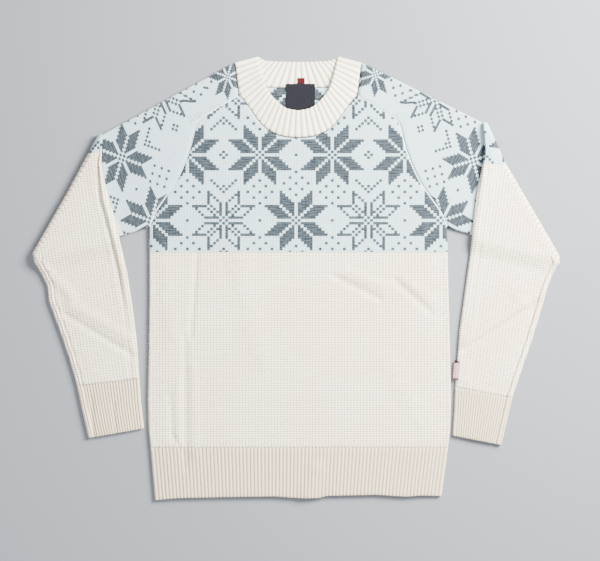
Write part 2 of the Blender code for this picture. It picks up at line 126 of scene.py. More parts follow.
# %% Sleeve tables
RIGHT, LEFT = -1, 1
FOLD = {
    RIGHT: ((-303, 221.5), (-350.7, 132.5), (-404.5, 38)),
    LEFT: ((287, 239.5), (316.4, 175), (397.5, 36)),
}
SIDES = ((RIGHT, "right"), (LEFT, "left"))
SAG = {RIGHT: 5, LEFT: 3}  # how far an upper arm's lower edge hangs
SAG_REACH = 110
FOREARM = {
    RIGHT: (
        # inner x, inner y, outer x, outer y
        (-304.5, 176, -408, 22), (-297, 137, -396, 0),
        (-287, 101, -389, -15), (-277, 62, -387, -37),
        (-265.5, 9, -378, -62), (-257.5, -42, -367, -92),
        (-250.5, -96, -355, -128), (-246, -157, -343.5, -168),
    ),
    LEFT: (
        (290, 197, 404, 22), (283.5, 163, 396, 6),
        (276.5, 127, 389, -11), (272, 87, 382.5, -33),
        (267, 36, 374, -63), (259, -22, 363, -98),
        (250, -88, 348.5, -140), (244, -170, 333, -187),
    ),
}
CUFF = {
    # its middle and its free edge, in the same way; it starts on the forearm's last row
    RIGHT: ((-243.5, -195, -335, -208), (-239, -233.5, -325.5, -248.5)),
    LEFT: ((242.5, -207, 324.5, -223), (240, -244.5, 316, -259.5)),
}
WALE_LEAN = 0.13  # how far a forearm's wales lean towards the body on their way down
# Where a sleeve's pattern lies: stitches across from the shoulder fold and rows up the sleeve, each as
# (per mm of x, per mm of y, at the origin)
SLEEVE_STITCHES = {
    RIGHT: ((0.1091, -0.1940, 77.75), (0.2213, 0.1018, 41.59)),
    LEFT: ((-0.1177, -0.1978, 79.80), (-0.2149, 0.1110, 38.31)),
}
# Where the raglan shaping draws them aside: from which row up, over how many rows, how far across and along
DRAWN = {RIGHT: ((29, 5, 2.4, 1.1), (38, 4, 1.9, 1.6)), LEFT: ((29, 5, 2.4, 1.1),)}
TAKEN_UP = {RIGHT: (-3.2, -2), LEFT: (0.7, 0.5)}  # stitches that go into the fold

# %% [markdown]
# ## Creases
# Laid-out knitwear never lies quite flat. Each row is one soft ridge (or trough, where its height is
# negative), from one end to the other, with its height and half width. A few follow the photo, such as the
# upright pleat near the wearer's right hip; the rest are as uneven as the cloth is.

# %% Crease tables
BODY_CREASES = (
    # x1, y1, x2, y2, height, half width
    (-176, -92, -174, -296, -1.9, 8),
    (-162, -140, -159, -276, 1.2, 11),
    (-187, -160, -185, -262, 1.1, 9),
    (-199, -184, -195, -252, -1.3, 7),
    (-193, -246, -178, -274, -1.2, 6),
    (74, 8, 130, -14, 1.7, 14),
    (56, 0, 126, -34, -2.4, 9),
    (168, -4, 208, -36, 1.4, 13),
    (150, -5, 204, -54, -2.2, 9),
    (-90, 30, -60, -120, 1.4, 30),
    (-157, 34, -166, -92, -2, 7),
    (30, -300, 14, -341, 2.6, 20),
    (-20, 120, 60, 60, 0.8, 40),
    (-215, 60, -196, -90, 1, 18),
    (140, -130, 190, -220, 1.2, 26),
)
SLEEVE_CREASES = {
    RIGHT: (
        (-352, -42, -258, -98, 2.4, 15),
        (-362, -58, -258, -121, -2.4, 8),
        (-392, 14, -350, -30, 2.4, 13),
        (-300, 120, -283, 30, 1.4, 14),
        (-320, -190, -318, -246, -1.6, 6),
        (-286, -196, -283, -240, -1.3, 5),
    ),
    LEFT: (
        (258, -100, 350, -40, 2.2, 15),
        (249, -119, 376, -38, -3.2, 8),
        (384, 10, 340, -30, 2.2, 14),
        (290, 150, 280, 60, 1.4, 14),
        (372, -40, 350, -86, -1.2, 7),
    ),
}
BODY_LOFT = 1.4  # how far the cloth stands up, away from its edges
SLEEVE_LOFT = 1.0
LOFT_EDGE = 34.0  # run over which it comes down to an edge
CREASE_EDGE = 12.0  # and over which the creases die out

# %% [markdown]
# ## Reckoning with lines
# A seam is a line of straight runs. These helpers read a point at a distance along it, lay a smooth curve
# through a short table, and say how high the creases lift the cloth at a place.


# %% Line helpers
def mix(a, b, share):
    return tuple(p + (q - p) * share for p, q in zip(a, b))


def ease(share):
    share = min(1.0, max(0.0, share))
    return share * share * (3.0 - 2.0 * share)


def positions(line):
    found = [0.0]
    for a, b in zip(line, line[1:]):
        found.append(found[-1] + dist(a, b))
    return found


def at(line, distance, marks=None):
    """The point that far along a line; past an end it goes on straight."""
    marks = marks or positions(line)
    last = len(line) - 2
    run = 0
    while run < last and distance > marks[run + 1]:
        run += 1
    return mix(line[run], line[run + 1], (distance - marks[run]) / (marks[run + 1] - marks[run]))


def between(a, b, c, d, t):
    return 0.5 * (2 * b + (c - a) * t + (2 * a - 5 * b + 4 * c - d) * t**2 + (3 * b - a - 3 * c + d) * t**3)


def smooth(points, steps, samples=12):
    """That many equal steps along a smooth curve through the points."""
    fine = []
    padded = [points[0], *points, points[-1]]
    for i in range(len(points) - 1):
        a, b, c, d = padded[i : i + 4]
        for j in range(samples):
            fine.append(tuple(between(*values, j / samples) for values in zip(a, b, c, d)))
    fine.append(tuple(points[-1]))
    marks = positions(fine)
    return [at(fine, marks[-1] * i / steps, marks) for i in range(steps + 1)]


def read(table, x, column=1):
    """A table's value at x; its first column grows or falls all the way, and past an end it stays."""
    if table[0][0] > table[-1][0]:
        table = table[::-1]
    if x <= table[0][0]:
        return table[0][column]
    for a, b in zip(table, table[1:]):
        if x <= b[0]:
            share = (x - a[0]) / (b[0] - a[0])
            return a[column] + (b[column] - a[column]) * share
    return table[-1][column]


# %% Crease helper
def creased(creases, x, y):
    """How far the creases lift a point."""
    total = 0.0
    for x1, y1, x2, y2, height, half_width in creases:
        along_x, along_y = x2 - x1, y2 - y1
        share = ((x - x1) * along_x + (y - y1) * along_y) / (along_x**2 + along_y**2)
        share = min(1.0, max(0.0, share))
        off = hypot(x - x1 - along_x * share, y - y1 - along_y * share)
        if off < half_width:
            total += height * (1.0 - ease(off / half_width))
    return total


def lofted(x, y, edge, height, creases):
    """How high the cloth stands up at a point that is that far from the nearest edge."""
    return ease(edge / LOFT_EDGE) * height + ease(edge / CREASE_EDGE) * creased(creases, x, y)


# %% [markdown]
# ## Laying out knitted cloth
# Knitting is a grid of wales and courses, so each piece starts as a flat grid whose every crossing is then
# laid where the garment has it. Wales that run out at a seam all end on it, and the doubles there are merged.
# Two maps go with the cloth: Stitches counts pattern stitches, and Cells counts the cells of the waffle.


# %% Grid helper
MERGE = 2e-5


def knitted(name, columns, rows, place, flip=False):
    """A grid laid out by place(column, row), which gives a point, its stitch and its cell."""
    cloth = bmesh.new()
    bmesh.ops.create_grid(cloth, x_segments=columns, y_segments=rows, size=0.5)
    stitches = cloth.loops.layers.uv.new("Stitches")
    cells = cloth.loops.layers.uv.new("Cells")
    spots = {}
    for vert in cloth.verts:
        column = round((vert.co.x + 0.5) * columns)
        row = round((vert.co.y + 0.5) * rows)
        point, stitch, cell = place(column, row)
        vert.co = Vector(point) * MM
        spots[vert] = (stitch, cell)
    for face in cloth.faces:
        for loop in face.loops:
            loop[stitches].uv, loop[cells].uv = spots[loop.vert]
    bmesh.ops.remove_doubles(cloth, verts=cloth.verts, dist=MERGE)
    bmesh.ops.dissolve_degenerate(cloth, edges=cloth.edges, dist=MERGE)
    if flip:
        bmesh.ops.reverse_faces(cloth, faces=cloth.faces)
    data = bpy.data.meshes.new(name)
    cloth.to_mesh(data)
    cloth.free()
    data.shade_smooth()
    piece = bpy.data.objects.new(name, data)
    bpy.context.scene.collection.objects.link(piece)
    print(f"{name}: {len(data.polygons)} faces")
    return piece


def walled(piece, thickness=WALL):
    """Gives a shell its wall, inwards from the face that shows."""
    wall = piece.modifiers.new("Wall", "SOLIDIFY")
    wall.thickness = thickness * MM
    wall.offset = -1.0
    return wall


def dressed(piece, material, slot, *nodes):
    piece.data.materials.append(material)
    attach(piece, "root")
    if nodes:
        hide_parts(*nodes)
    return piece


# %% [markdown]
# ## Reckoning in nodes
# The star pattern is a chart, as on squared paper: each stitch is dark or light by its place in a repeat.
# That is plain arithmetic on the Stitches map, so the chart is a shader node group of Math nodes. A small
# class lets the sums be written as sums.


# %% Sums in node trees
class Sum:
    """A number flowing through a node tree."""

    def __init__(self, tree, socket):
        self.tree, self.socket = tree, socket

    def step(self, operation, *others):
        node = self.tree.nodes.new("ShaderNodeMath")
        node.operation = operation
        for slot, value in zip(node.inputs, (self, *others)):
            if isinstance(value, Sum):
                self.tree.links.new(value.socket, slot)
            else:
                slot.default_value = value
        return Sum(self.tree, node.outputs[0])

    __add__ = partialmethod(step, "ADD")
    __sub__ = partialmethod(step, "SUBTRACT")
    __mul__ = partialmethod(step, "MULTIPLY")
    __truediv__ = partialmethod(step, "DIVIDE")
    __abs__ = partialmethod(step, "ABSOLUTE")
    __lt__ = partialmethod(step, "LESS_THAN")
    __gt__ = partialmethod(step, "GREATER_THAN")
    fraction = partialmethod(step, "FRACT")
    larger = partialmethod(step, "MAXIMUM")
    smaller = partialmethod(step, "MINIMUM")

    def inverse(self):
        return self * -1.0 + 1.0

    def rounded(self):
        return (self + 0.5).step("FLOOR")

    def held(self):
        """Kept from 0 to 1."""
        return self.larger(0.0).smaller(1.0)

    def odd(self):
        return abs(self).step("MODULO", 2.0) > 0.5


def group_of(name, inputs, outputs):
    """A shader node group that makes numbers from places, and its inner input and output nodes."""
    tree = bpy.data.node_groups.new(name, "ShaderNodeTree")
    for socket_name in inputs:
        tree.interface.new_socket(socket_name, in_out="INPUT", socket_type="NodeSocketVector")
    for socket_name in outputs:
        tree.interface.new_socket(socket_name, in_out="OUTPUT", socket_type="NodeSocketFloat")
    return tree, tree.nodes.new("NodeGroupInput"), tree.nodes.new("NodeGroupOutput")


def fill(node, **values):
    """Sets sockets of a node; an underscore in a name stands for a space."""
    for name, value in values.items():
        node.inputs[name.replace("_", " ")].default_value = value


def give(result, *sums):
    """Leads sums to a group's outputs, in their order."""
    for total, slot in zip(sums, result.inputs):
        total.tree.links.new(total.socket, slot)


def parts_of(tree, socket):
    split = tree.nodes.new("ShaderNodeSeparateXYZ")
    tree.links.new(socket, split.inputs[0])
    return Sum(tree, split.outputs[0]), Sum(tree, split.outputs[1])


# %% [markdown]
# ## The star chart
# An eight-pointed star of eight leaning petals is an old pattern of northern knitting. Counted from its
# centre, with big and small the larger and smaller count, a petal is where small is 1 to 5 and big runs 1 to
# 5 past it. Rows of stars lie 23 rows apart, each moved half a repeat. Clusters of dots, small chevrons,
# single dots and diamonds fill the gaps between them.

# %% Chart group
REPEAT = 24.0
STAR_ROWS = 46.0


def counted(value, start, repeat):
    """Stitches from the nearest star centre of one lattice."""
    moved = value - start
    return abs(moved - (moved / repeat).rounded() * repeat)


def star(across, along, outline):
    """Eight petals and the four dots of the centre; outline is 1 where only the petals' rims are dark."""
    big, small = across.larger(along), across.smaller(along)
    past = big - small
    petal = (small > 0.5) * (small < 5.5) * (past > 0.5) * (past < 5.5)
    rim = (small < 1.5).larger(small > 4.5).larger(past < 1.5).larger(past > 4.5)
    centre = (big < 1.5) * (big > 0.5) * (small < 0.5)
    return (petal * outline.inverse().larger(rim)).larger(centre)


def cluster(across, along):
    """Nine dots on edge, 13 rows from a star's centre."""
    off = abs(along - 13.0)
    ring = (abs(across + off - 4.0) < 0.5) * across.odd().inverse()
    return ring.larger((across + off) < 0.5)


def chevron(across, along):
    """A V of dots that points at a star."""
    arms = (abs(along - across - 10.0) < 0.5) * (across < 4.5)
    return arms.larger((across < 0.5) * (abs(along - 12.0) < 0.5))


def gap(across, along, diamond):
    """What stands half a repeat beside a star: a dot, or a diamond of four."""
    beside = along - across + REPEAT / 2
    return ((beside < 0.5) * diamond.inverse()).larger((abs(beside - 1.0) < 0.5) * diamond)


# %% Body and sleeve charts
def chart(name):
    tree, entry, result = group_of(name, ("Stitch",), ("Dark",))
    return tree, *parts_of(tree, entry.outputs[0]), result


body_chart, across, along, result = chart("Body star chart")
column, row = across.rounded(), along.rounded()
odd, none = (column / REPEAT).rounded().odd(), column * 0.0
even_spot = counted(column, 0.0, REPEAT), counted(row, 0.0, STAR_ROWS)
odd_spot = counted(column, REPEAT / 2, REPEAT), counted(row, STAR_ROWS / 2, STAR_ROWS)
dark = star(*even_spot, odd).larger(star(*odd_spot, none))
dark = dark.larger(cluster(*even_spot) * odd.inverse()).larger(chevron(*even_spot) * odd)
dark = dark.larger(cluster(*odd_spot)).larger(gap(*even_spot, none)).larger(gap(*odd_spot, odd))
give(result, dark)

sleeve_chart, across, along, result = chart("Sleeve star chart")
column, row = across.rounded(), along.rounded()
none = column * 0.0
whole = none + 1.0
side_spot = counted(column, REPEAT / 2, REPEAT), abs(row)
mid_spot = counted(column, 0.0, REPEAT), abs(row - STAR_ROWS / 2)
low = star(*side_spot, none).larger(chevron(*side_spot))
dark = low.larger(gap(*side_spot, none)) * (row < 14.5)
dark = dark.larger(star(*mid_spot, whole) * (abs(column) < 12.5))
dark = dark.larger(cluster(*mid_spot)).larger(gap(*mid_spot, whole))
dark = dark.larger(chevron(mid_spot[0], row * -1.0 + 2.0))
# the star at the neck is smaller: its stitches are drawn together by the shaping
top_spot = (abs(across - 1.3) * 1.5).rounded(), (abs(along - 46.3) * 1.5).rounded()
dark = dark.larger(star(*top_spot, none))
give(result, dark)
print("chart nodes:", len(body_chart.nodes), len(sleeve_chart.nodes))

# %% [markdown]
# ## Yarn
# A knitted stitch is a V of two leaning legs, so the height over one stitch is two soft ridges, shifted
# along the wale by how far they are from its middle. The heather group gives the yarn its uneven colour.


# %% Stitch group
def wave(count, times):
    """From 1 on a whole count down to 0 and back, that many times a count."""
    return (count * (tau * times)).step("COSINE") * 0.5 + 0.5


stitch_group, entry, result = group_of("Knit stitches", ("Stitch",), ("Height", "Strands"))
across, along = parts_of(stitch_group, entry.outputs[0])
from_middle = abs((across + 0.5).fraction() - 0.5)
leg = (abs(from_middle - 0.25) * 4.0).inverse()
leaned = abs((along + from_middle * 0.9).fraction() - 0.5) * 2.0
bulb = (leaned * leaned).inverse()
give(result, (leg * 0.7 + 0.3) * (bulb * 0.6 + 0.4), wave(along, 1.0))

# %% Waffle group
# The group's Shade output is painted shade: it darkens the waffle's pressed lines and pits, where shade
# falls.
waffle_group, entry, result = group_of("Waffle cells", ("Cell",), ("Height", "Shade"))
across, along = parts_of(waffle_group, entry.outputs[0])
pit_across, pit_along = wave(across, 1.0).inverse(), wave(along, 1.0).inverse()
pit = (((pit_across * pit_along) - 0.12) * 1.7).held()
lines = pit_across * pit_across * 0.42 + pit_along * pit_along * 0.46
beads = wave(across, 4.0) * wave(along, 2.0)
give(result, lines.inverse() * 0.75 + beads * 0.25, lines + pit * 0.1)


# %% Heather group
def noise(tree, vector, scale, detail=2.0):
    node = tree.nodes.new("ShaderNodeTexNoise")
    fill(node, Scale=scale, Detail=detail)
    tree.links.new(vector, node.inputs["Vector"])
    return Sum(tree, node.outputs["Fac"])


tree, entry, result = group_of("Heathered yarn", ("Place", "Stitch"), ("Fine", "Broad", "Slub"))
stretch = tree.nodes.new("ShaderNodeMapping")
fill(stretch, Scale=(0.45, 3.1, 1.0))
tree.links.new(entry.outputs["Stitch"], stretch.inputs["Vector"])
place = entry.outputs["Place"]
give(result, noise(tree, place, 520.0, 4.0), noise(tree, place, 9.0), noise(tree, stretch.outputs[0], 1.0))
heather_group = tree

# %% [markdown]
# ## Cloth materials
# All the knits share one fibre: matt, a little fuzzy at grazing angles, with yarn-sized bumps. The patterned
# knit turns from stars to plain waffle at the yoke's last row, so one material covers a panel or a sleeve.

# %% Material helpers
CREAM = (0.92, 0.85, 0.665)
# painted shade of the cream, for the waffle's pressed lines and pits and for the ribs' valleys
CREAM_PAINTED_SHADE = (0.13, 0.09, 0.05)
CREAM_PINK = (0.9, 0.73, 0.56)
RIB_CREAM_PAINTED_SHADE = (0.60, 0.505, 0.36)
# painted shade: the cream painted darker all over for the ribbed hem and cuffs, standing in for the shade of
# their ribs
GROUND = (0.46, 0.60, 0.65)
# painted shade of the pale ground, for the grooves between the stitch legs
GROUND_PAINTED_SHADE = (0.18, 0.25, 0.28)
SLATE = (0.010, 0.015, 0.020)
SLATE_LIGHT = (0.066, 0.092, 0.110)
SEAM_PALE = (0.66, 0.77, 0.80)


def fibre(name, roughness=0.92, sheen=0.25):
    """A material with the look of wool, and its tree and shader."""
    made = bpy.data.materials.new(name)
    made.use_nodes = True
    tree = made.node_tree
    shader = tree.nodes["Principled BSDF"]
    fill(shader, Roughness=roughness, Sheen_Weight=sheen, Sheen_Roughness=0.5, Specular_IOR_Level=0.2)
    return made, tree, shader


def uv(tree, name):
    node = tree.nodes.new("ShaderNodeUVMap")
    node.uv_map = name
    return node.outputs[0]


def place_of(tree):
    return tree.nodes.new("ShaderNodeTexCoord").outputs["Object"]


def use(tree, group, **links):
    """What a group makes of the sockets that are led to it."""
    node = tree.nodes.new("ShaderNodeGroup")
    node.node_tree = group
    for name, socket in links.items():
        tree.links.new(socket, node.inputs[name])
    return [Sum(tree, output) for output in node.outputs]


def blend(share, first, second):
    """Mixes two colours, each a socket or a colour, by a sum."""
    tree = share.tree
    node = tree.nodes.new("ShaderNodeMix")
    node.data_type = "RGBA"
    tree.links.new(share.socket, node.inputs["Factor"])
    for slot, value in ((node.inputs[6], first), (node.inputs[7], second)):
        if isinstance(value, tuple):
            slot.default_value = (*value, 1.0)
        else:
            tree.links.new(value, slot)
    return node.outputs[2]


def bumped(shader, height, distance):
    tree = height.tree
    node = tree.nodes.new("ShaderNodeBump")
    fill(node, Strength=1.0, Distance=distance * MM)
    tree.links.new(height.socket, node.inputs["Height"])
    tree.links.new(node.outputs[0], shader.inputs["Normal"])


def coloured(shader, share, first, second):
    share.tree.links.new(blend(share, first, second), shader.inputs["Base Color"])


def yarn_of(tree, stitch):
    """The fine, broad and slubbed unevenness of the yarn."""
    return use(tree, heather_group, Place=place_of(tree), Stitch=stitch)


# %% Patterned knit
def patterned(name, chart_group, last_row):
    made, tree, shader = fibre(name)
    stitch, cell = uv(tree, "Stitches"), uv(tree, "Cells")
    fine, broad, slub = yarn_of(tree, stitch)
    (dark,) = use(tree, chart_group, Stitch=stitch)
    face, strands = use(tree, stitch_group, Stitch=stitch)
    cells, shade = use(tree, waffle_group, Cell=cell)

    streak = ((slub - 0.45) * 2.2 + strands * 0.4 + (fine - 0.5) * 0.6).held()
    slate = blend(streak, SLATE, SLATE_LIGHT)
    # The grooves between the stitch legs of the pale ground are painted darker as shade, with the yarn's fine
    # unevenness on top.
    groove_shade_and_yarn = (face.inverse() * 0.5 + (fine - 0.5) * 0.8).larger(0.0)
    stars = blend(dark, blend(groove_shade_and_yarn, GROUND, GROUND_PAINTED_SHADE), slate)

    # The waffle's pressed lines and pits are painted darker as shade, with the yarn's fine unevenness on top.
    pit_shade_and_yarn = (shade * 0.8 + (fine - 0.5) * 1.1).larger(0.0)
    blush = ((broad - 0.42) * 3.0).held()
    cream = blend(pit_shade_and_yarn, blend(blush, CREAM, CREAM_PINK), CREAM_PAINTED_SHADE)

    yoke = parts_of(tree, stitch)[1] > last_row
    coloured(shader, yoke, cream, stars)
    bumped(shader, face * yoke + cells * yoke.inverse() + (fine - 0.5) * 0.3, 0.7)
    return made


body_knit = patterned("Star and waffle knit, body", body_chart, YOKE_END)
sleeve_knit = patterned("Star and waffle knit, sleeve", sleeve_chart, SLEEVE_YOKE_END)

# %% Inside of the yoke
# Inside, the floats of both yarns lie across each other, so the pattern shows only as a greyer cloud.
inside_knit, tree, shader = fibre("Yoke inside")
stitch = uv(tree, "Stitches")
fine, _, slub = yarn_of(tree, stitch)
(dark,) = use(tree, body_chart, Stitch=stitch)
_, strands = use(tree, stitch_group, Stitch=stitch)
floats = dark * 0.9 + (slub - 0.4) * 0.5 + (fine - 0.5) * 0.5
coloured(shader, floats.held(), GROUND, SLATE)
bumped(shader, strands + fine * 0.4, 0.5)

# %% Ribbed knit
# On a rib map the first count is ribs across and the second is courses along.
def ribbed(name, colour):
    made, tree, shader = fibre(name)
    rib = uv(tree, "Stitches")
    fine, _, _ = yarn_of(tree, rib)
    across, along = parts_of(tree, rib)
    off = abs((across + 0.5).fraction() - 0.5)
    valley = ((off - 0.24) * 4.4).held()
    # The valleys between the ribs are painted darker as shade, with the yarn's fine unevenness on top.
    coloured(shader, (valley * 0.6 + (fine - 0.5) * 0.5).larger(0.0), colour, CREAM_PAINTED_SHADE)
    courses = (along + off * 0.8).fraction() - 0.5
    bead = (courses * courses * -4.0) + 1.0
    bumped(shader, bead * 0.6 + fine * 0.3 - valley * 0.5, 0.4)
    return made


rib_knit = ribbed("Ribbed knit", RIB_CREAM_PAINTED_SHADE)
collar_knit = ribbed("Ribbed knit of the neck", CREAM)

# %% Seam yarn
# A seam's ridge is a rope of loops, so its map counts turns round it and loops along it.
seam_yarn, tree, shader = fibre("Seam yarn")
loops = uv(tree, "Stitches")
across, along = parts_of(tree, loops)
twist = abs((along + across * 2.0).fraction() - 0.5) * 2.0
coloured(shader, twist * twist * 0.3, SEAM_PALE, GROUND)
bumped(shader, twist, 0.3)

# %% [markdown]
# ## Front
# The front's wales run straight up and its courses straight across, so columns of the grid are half cells of
# the waffle and end on the side, raglan or neck seam. Every second column and every second course is pressed
# in, most where they cross. At the sides the cloth turns down over a small round to meet the back.

# %% Front outline
ROUND_STEPS = 3
# y of the front's upper boundary, by distance from the centre line
FRONT_TOP = tuple(smooth(NECK_FRONT, 30)[::-1][:-1] + smooth(RAGLAN_FRONT, 30)[::-1])


def side_round(turned):
    """How far in and how far up or down a column of the round at a side lies."""
    angle = radians(90.0 * (ROUND_STEPS - turned) / ROUND_STEPS)
    return HALF * (1.0 - cos(angle)), max(HALF * sin(angle), SEAM / 2)


def body_stitch(x, y):
    return (x - STAR_ORIGIN[0]) / STITCH[0], (y - STAR_ORIGIN[1]) / STITCH[1]


def dip(distance, depth=1.1, reach=4.0):
    """How far cloth is drawn down next to a seam."""
    return -depth * (1.0 - ease(distance / reach))


def pressed(wale, row):
    """How deep the waffle is pressed in at a crossing."""
    across, along = wale % 2, row % 2
    return PIT * (0.4 * across + 0.35 * along + 0.25 * across * along)


# %% Body courses
half_cell = (CELL[0] / 2, CELL[1] / 2)
waffle_rows = 2 * round((YOKE_Y - HEM_SEAM_Y) / CELL[1])
YOKE_STEP = 4.0


def course_y(row):
    if row <= waffle_rows:
        return HEM_SEAM_Y + JOIN + (YOKE_Y - HEM_SEAM_Y - JOIN) * row / waffle_rows
    return YOKE_Y + (row - waffle_rows) * YOKE_STEP


side_wales = round(240.0 / half_cell[0])
PLAIN_EDGE = 5.0  # no pits so near a side
RIB_DIP = (0.45, 2.5)  # depth and reach of the groove along a rib's seam
front_rows = waffle_rows + round((RAGLAN_FRONT[-1][1] - YOKE_Y) / YOKE_STEP)
front_columns = 2 * side_wales + 2 * ROUND_STEPS


# %% Lay out the front
def front_place(column, row):
    y = course_y(row)
    low, high = read(BODY_SIDE, y, 1), read(BODY_SIDE, y, 2)
    wale = column - ROUND_STEPS - side_wales
    turned = max(-side_wales - wale, wale - side_wales, 0)
    if turned:
        out, rise = side_round(turned)
        x = low + out if wale < 0 else high - out
        y = min(y, UNDERARM_Y)
    else:
        x = min(max(wale * half_cell[0], low + HALF), high - HALF)
        top = read(FRONT_TOP, abs(x)) - (WELT if abs(x) < RAGLAN_FRONT[-1][0] else 1.25 * WELT)
        under = max(top - y, 0.0)
        y = min(y, top)
        edge = min(x - low, high - x)
        rise = HALF + lofted(x, y, edge, BODY_LOFT, BODY_CREASES) + dip(under * 0.6, 0.8)
        rise += dip(y - HEM_SEAM_Y, *RIB_DIP)
        if row < waffle_rows and edge > PLAIN_EDGE:
            rise -= pressed(wale, row)
    return (x, y, HALF + rise), body_stitch(x, y), (wale / 2, row / 2)


front = knitted("front_cloth", front_columns, front_rows, front_place)
walled(front)
dressed(front, body_knit, "waffle_knit", "front_panel")

# %% [markdown]
# ## Back
# The back lies face down under the front. Only its inside shows, in the neck, so its wales are laid coarser,
# and its wall gets a second material for the inside.

# %% Lay out the back
BACK_TOP = tuple(smooth(NECK_BACK, 12)[::-1][:-1] + smooth(RAGLAN_BACK, 24)[::-1])
back_columns, back_rows = 80, 96
INSIDE_SHIFT = 1.7  # stitches that the back's pattern lies higher than the front's


def back_place(column, row):
    y = HEM_SEAM_Y + SEAM + (RAGLAN_BACK[-1][1] - HEM_SEAM_Y) * row / back_rows
    low, high = read(BODY_SIDE, y, 1), read(BODY_SIDE, y, 2)
    turned = max(ROUND_STEPS - column, column - back_columns + ROUND_STEPS, 0)
    if turned:
        out, drop = side_round(turned)
        x = low + out if column < ROUND_STEPS else high - out
        y = min(y, UNDERARM_Y)
        z = HALF - drop
    else:
        share = (column - ROUND_STEPS) / (back_columns - 2 * ROUND_STEPS)
        x = low + HALF + (high - low - TUBE) * share
        y = min(y, read(BACK_TOP, abs(x)) - SEAM)
        z = 0.0
    across, along = body_stitch(x, y)
    return (x, y, z), (across, along - INSIDE_SHIFT), (x / CELL[0], y / CELL[1])


back = knitted("back_cloth", back_columns, back_rows, back_place, flip=True)
wall = walled(back, LAYER)
wall.material_offset = 1
dressed(back, body_knit, "waffle_knit", "back_panel")
back.data.materials.append(inside_knit)

# %% [markdown]
# ## Sleeves
# The upper arm runs from the raglan seam to the fold as a flattened tube. The forearm is a second stretch of
# the same tube, turned over at the fold, so it lies higher and comes down to the floor past the underarm.


# %% Flattened tube
def ring_spot(share, steps):
    """Where a column lies round a flattened tube, as (layer, share across, angle).

    steps is (edge, upper, edge, lower) columns. Edges turn from -90 to 90 degrees.
    """
    edge, upper, _, lower = steps
    if share < edge:
        return "first", 0.0, -90.0 + 180.0 * share / edge
    share -= edge
    if share <= upper:
        return "upper", share / upper, 90.0
    share -= upper
    if share < edge:
        return "second", 1.0, 90.0 - 180.0 * share / edge
    return "lower", 1.0 - (share - edge) / lower, -90.0


def ring_distance(whole, layer, across, angle, radius=HALF):
    """How far from the first edge that column lies, where the tube is whole wide."""
    out = radius * cos(radians(angle))
    if layer == "first":
        return HALF - out
    if layer == "second":
        return whole - HALF + out
    return HALF + (whole - TUBE) * across


# %% Upper arm
def sleeve_stitch(x, y, side):
    """Stitches across and along a sleeve; towards the collar the raglan shaping draws them aside."""
    across, row = (a * x + b * y + c for a, b, c in SLEEVE_STITCHES[side])
    along = row
    for start, run, aside, down in DRAWN[side]:
        drawn = ease((row - start) / run)
        across -= aside * drawn
        along -= down * drawn
    return across, along


def sagged(x, y, share, side):
    """y of a point of the upper arm, whose lower edge hangs a little."""
    edge = mix((side * HALF_CHEST, UNDERARM_Y), FOLD[side][-1], share)
    near = 1.0 - ease(dist((x, y), edge) / SAG_REACH)
    return y - SAG[side] * sin(pi * share) * near


def upper_arm(side, name):
    def seam(neck_side, raglan):
        half = [SHOULDER] + smooth(neck_side, 6)[:-1] + smooth(raglan, 30)[::-1]
        return [(side * x, y) for x, y in half]

    lines = seam(NECK_SIDE_FRONT, RAGLAN_FRONT), seam(NECK_SIDE_BACK, RAGLAN_BACK), FOLD[side]
    front_line, back_line, fold = ((line, positions(line)) for line in lines)
    steps, rows = (8, 60, 8, 20), 44

    def place(column, row):
        share = row / rows
        spot = ring_spot(column % sum(steps), steps)
        layer, across, angle = spot
        start = back_line if angle < 0.0 else front_line
        ends = [at(line, ring_distance(marks[-1], *spot), marks) for line, marks in (start, fold)]
        x, y = mix(*ends, share)
        y = sagged(x, y, share, side)
        x += side * WELT * 1.1 * (1.0 - share)
        z = HALF + HALF * sin(radians(angle))
        if layer == "upper":
            edge = min(across, 1.0 - across) * 200.0
            z += ease(edge / LOFT_EDGE) * SLEEVE_LOFT * (1.0 - share) + dip(share * 180.0, 0.8)
        stitch = sleeve_stitch(x, y, side)
        return (x, y, z), stitch, (stitch[0] * STITCH[0] / CELL[0], stitch[1] * STITCH[1] / CELL[1])

    piece = knitted(name, sum(steps), rows, place, flip=side == RIGHT)
    walled(piece)
    return piece


sleeve_pieces = {}
for side, word in SIDES:
    piece = upper_arm(side, f"upper_arm_{word}")
    dressed(piece, sleeve_knit, "sleeve_knit")
    sleeve_pieces[word] = [piece]

# %% [markdown]
# The forearm's wales run down it, leaning a little towards the body, and end on the fold at the top and on
# the underarm seam at the side. Each course therefore reads where it meets the inner edge and the outer one.


# %% Heights under a forearm
def base_height(x, y, side):
    """Height of what the forearm lies on: the upper arm, and past its lower edge the floor."""
    corner, underarm = FOLD[side][-1], (side * HALF_CHEST, UNDERARM_Y)
    run = (corner[0] - underarm[0], corner[1] - underarm[1])
    across = (run[0] * (y - underarm[1]) - run[1] * (x - underarm[0])) / hypot(*run)
    below = -side * across - max(SAG.values())
    return (TUBE + 2 * FOLD_BORE) * (1.0 - ease(below / DROP))


def unfolded(x, y, side):
    """The stitch that lies at a point of the forearm, counted as if the fold were opened."""
    a, b = FOLD[side][0], FOLD[side][-1]
    run = (b[0] - a[0], b[1] - a[1])
    share = ((x - a[0]) * run[0] + (y - a[1]) * run[1]) / (run[0] ** 2 + run[1] ** 2)
    x, y = 2 * (a[0] + run[0] * share) - x, 2 * (a[1] + run[1] * share) - y
    return tuple(count + extra for count, extra in zip(sleeve_stitch(x, y, side), TAKEN_UP[side]))


